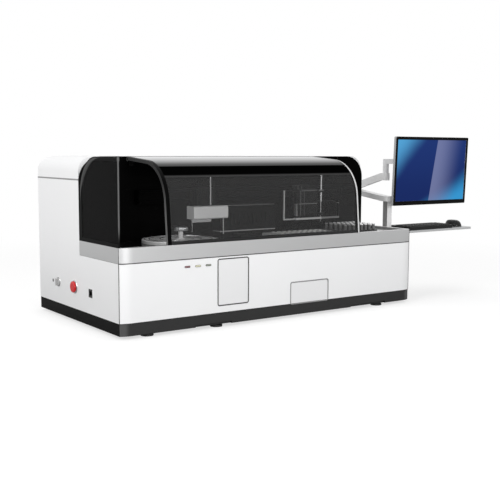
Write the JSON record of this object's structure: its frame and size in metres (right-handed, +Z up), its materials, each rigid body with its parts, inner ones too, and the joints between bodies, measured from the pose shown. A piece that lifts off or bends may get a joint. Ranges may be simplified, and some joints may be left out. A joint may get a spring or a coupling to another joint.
{
  "type": "chemiluminescence immunoassay analyzer",
  "caption": "Bench analyzer with a curved smoked hood over a deck of carousel, pipettors and racks, a white cabinet on a black base, and a monitor arm.",
  "frame": {"origin": "centre of the whole object's outline in plan, on the plane that its feet stand on", "axes": "+X to the right seen from the front, +Y to the back, +Z up"},
  "size_m": [2, 0.781, 0.7714],
  "materials": {
    "base_black": "satin black",
    "foot_rubber": "matt",
    "frame_steel": "grey powder coat",
    "white_paint": "satin white",
    "silver_rim": "silver satin",
    "deck_black": "gloss black",
    "gloss_black": "gloss black",
    "smoked_pane": "smoked, clear",
    "smoked_hood": "smoked, clear",
    "red_lens": "translucent red",
    "amber_lens": "translucent amber",
    "green_lens": "translucent green",
    "black_plastic": "fine textured black",
    "key_black": "matt black",
    "motor_grey": "dark grey",
    "grey_plastic": "satin grey",
    "bottle_white": "milky",
    "white_plastic": "satin white",
    "anodised": "clear anodised",
    "steel": "ground",
    "board_green": "solder mask",
    "red_button": "gloss red",
    "rack_grey": "satin grey",
    "tube_clear": "clear with caps",
    "screen_blue": "glossy display"
  },
  "bodies": {
    "cabinet": {"base_skirt": "base_black", "levelling_feet": "foot_rubber", "cabinet_frame": "frame_steel", "front_panel": "white_paint", "left_side_panel": "white_paint", "right_side_panel": "white_paint", "rear_panel": "white_paint", "deck_rim": "silver_rim", "deck_plate": "deck_black", "rear_wall": "gloss_black", "top_cover": "white_paint", "side_screen": "smoked_pane", "side_screen_frame": "gloss_black", "red_lamp": "red_lens", "amber_lamp": "amber_lens", "green_lamp": "green_lens", "data_socket": "black_plastic", "power_inlet": "black_plastic", "carousel_well": "frame_steel", "carousel_motor": "motor_grey", "gantry_beam": "anodised", "wash_station": "grey_plastic", "incubation_block": "anodised", "luminometer": "motor_grey", "power_supply": "frame_steel", "control_board": "board_green", "wash_pump": "motor_grey", "buffer_bottles": "bottle_white", "drawer_runners": "frame_steel", "hood_hinges": "steel", "arm_column": "silver_rim", "keyboard_tray": "silver_rim", "keyboard": "black_plastic", "mouse": "black_plastic"},
    "hood": {"hood_sheet": "smoked_hood", "hood_top_band": "gloss_black", "hood_left_frame": "gloss_black", "hood_right_frame": "silver_rim", "hood_front_bar": "gloss_black"},
    "access_door": {"access_door": "white_paint"},
    "waste_drawer": {"drawer_front": "white_paint", "waste_box": "grey_plastic"},
    "main_button": {"main_button": "red_button"},
    "power_knob": {"power_knob": "grey_plastic"},
    "carousel": {"carousel_rotor": "grey_plastic", "reagent_bottles": "bottle_white"},
    "carousel_lid": {"carousel_lid": "white_plastic"},
    "left_carriage": {"left_carriage": "white_plastic"},
    "left_probe": {"left_probe": "steel"},
    "right_carriage": {"right_carriage": "white_plastic"},
    "right_probe": {"right_probe": "steel"},
    "rack_cassette": {"rack_cassette": "anodised", "sample_racks": "rack_grey", "sample_tubes": "tube_clear"},
    "lower_arm": {"lower_arm": "white_plastic"},
    "upper_arm": {"upper_arm": "white_plastic"},
    "monitor_yoke": {"monitor_yoke": "white_plastic"},
    "monitor": {"monitor_housing": "black_plastic", "monitor_screen": "screen_blue"},
    "keyboard_keys": {"keyboard_keys": "key_black"}
  },
  "joints": [
    {"name": "hood_hinge", "type": "hinge", "parent": "cabinet", "child": "hood", "pos_m": [0, -0.0615, 0.666], "axis": [-1, 0, 0], "range_deg": [0, 70]},
    {"name": "door_pivot", "type": "hinge", "parent": "cabinet", "child": "access_door", "pos_m": [-0.553, -0.3855, 0.1815], "axis": [0, 0, -1], "range_deg": [0, 110]},
    {"name": "drawer_slide", "type": "slide", "parent": "cabinet", "child": "waste_drawer", "axis": [0, -1, 0], "range_m": [0, 0.25]},
    {"name": "button_press", "type": "slide", "parent": "cabinet", "child": "main_button", "axis": [1, 0, 0], "range_m": [0, 0.004], "stiffness_N_per_m": 400},
    {"name": "knob_turn", "type": "hinge", "parent": "cabinet", "child": "power_knob", "pos_m": [-0.986, 0.1835, 0.15], "axis": [-1, 0, 0], "range_deg": [0, 90]},
    {"name": "carousel_spin", "type": "hinge", "parent": "cabinet", "child": "carousel", "pos_m": [-0.62, -0.2055, 0.322], "axis": [0, 0, 1], "continuous": true},
    {"name": "lid_lift", "type": "slide", "parent": "cabinet", "child": "carousel_lid", "axis": [0, 0, 1], "range_m": [0, 0.016]},
    {"name": "left_travel", "type": "slide", "parent": "cabinet", "child": "left_carriage", "axis": [1, 0, 0], "range_m": [-0.15, 0.25]},
    {"name": "left_dip", "type": "slide", "parent": "left_carriage", "child": "left_probe", "axis": [0, 0, -1], "range_m": [0, 0.052]},
    {"name": "right_travel", "type": "slide", "parent": "cabinet", "child": "right_carriage", "axis": [1, 0, 0], "range_m": [-0.07, 0.098]},
    {"name": "right_dip", "type": "slide", "parent": "right_carriage", "child": "right_probe", "axis": [0, 0, -1], "range_m": [0, 0.05]},
    {"name": "rack_feed", "type": "slide", "parent": "cabinet", "child": "rack_cassette", "axis": [0, 1, 0], "range_m": [0, 0.1065]},
    {"name": "mast_swivel", "type": "hinge", "parent": "cabinet", "child": "lower_arm", "pos_m": [0.536, -0.2075, 0.462], "axis": [0, 0, -1], "range_deg": [-5, 60]},
    {"name": "elbow_swivel", "type": "hinge", "parent": "lower_arm", "child": "upper_arm", "pos_m": [0.574, 0.0725, 0.512], "axis": [0, 0, 1], "range_deg": [-20, 50]},
    {"name": "head_swivel", "type": "hinge", "parent": "upper_arm", "child": "monitor_yoke", "pos_m": [0.649, -0.0725, 0.652], "axis": [0, 0, 1], "range_deg": [0, 40]},
    {"name": "monitor_tilt", "type": "hinge", "parent": "monitor_yoke", "child": "monitor", "pos_m": [0.75, -0.2345, 0.652], "axis": [-1, 0, 0], "range_deg": [-2, 20]},
    {"name": "key_press", "type": "slide", "parent": "cabinet", "child": "keyboard_keys", "axis": [0, 0, -1], "range_m": [0, 0.002], "stiffness_N_per_m": 900}
  ]
}
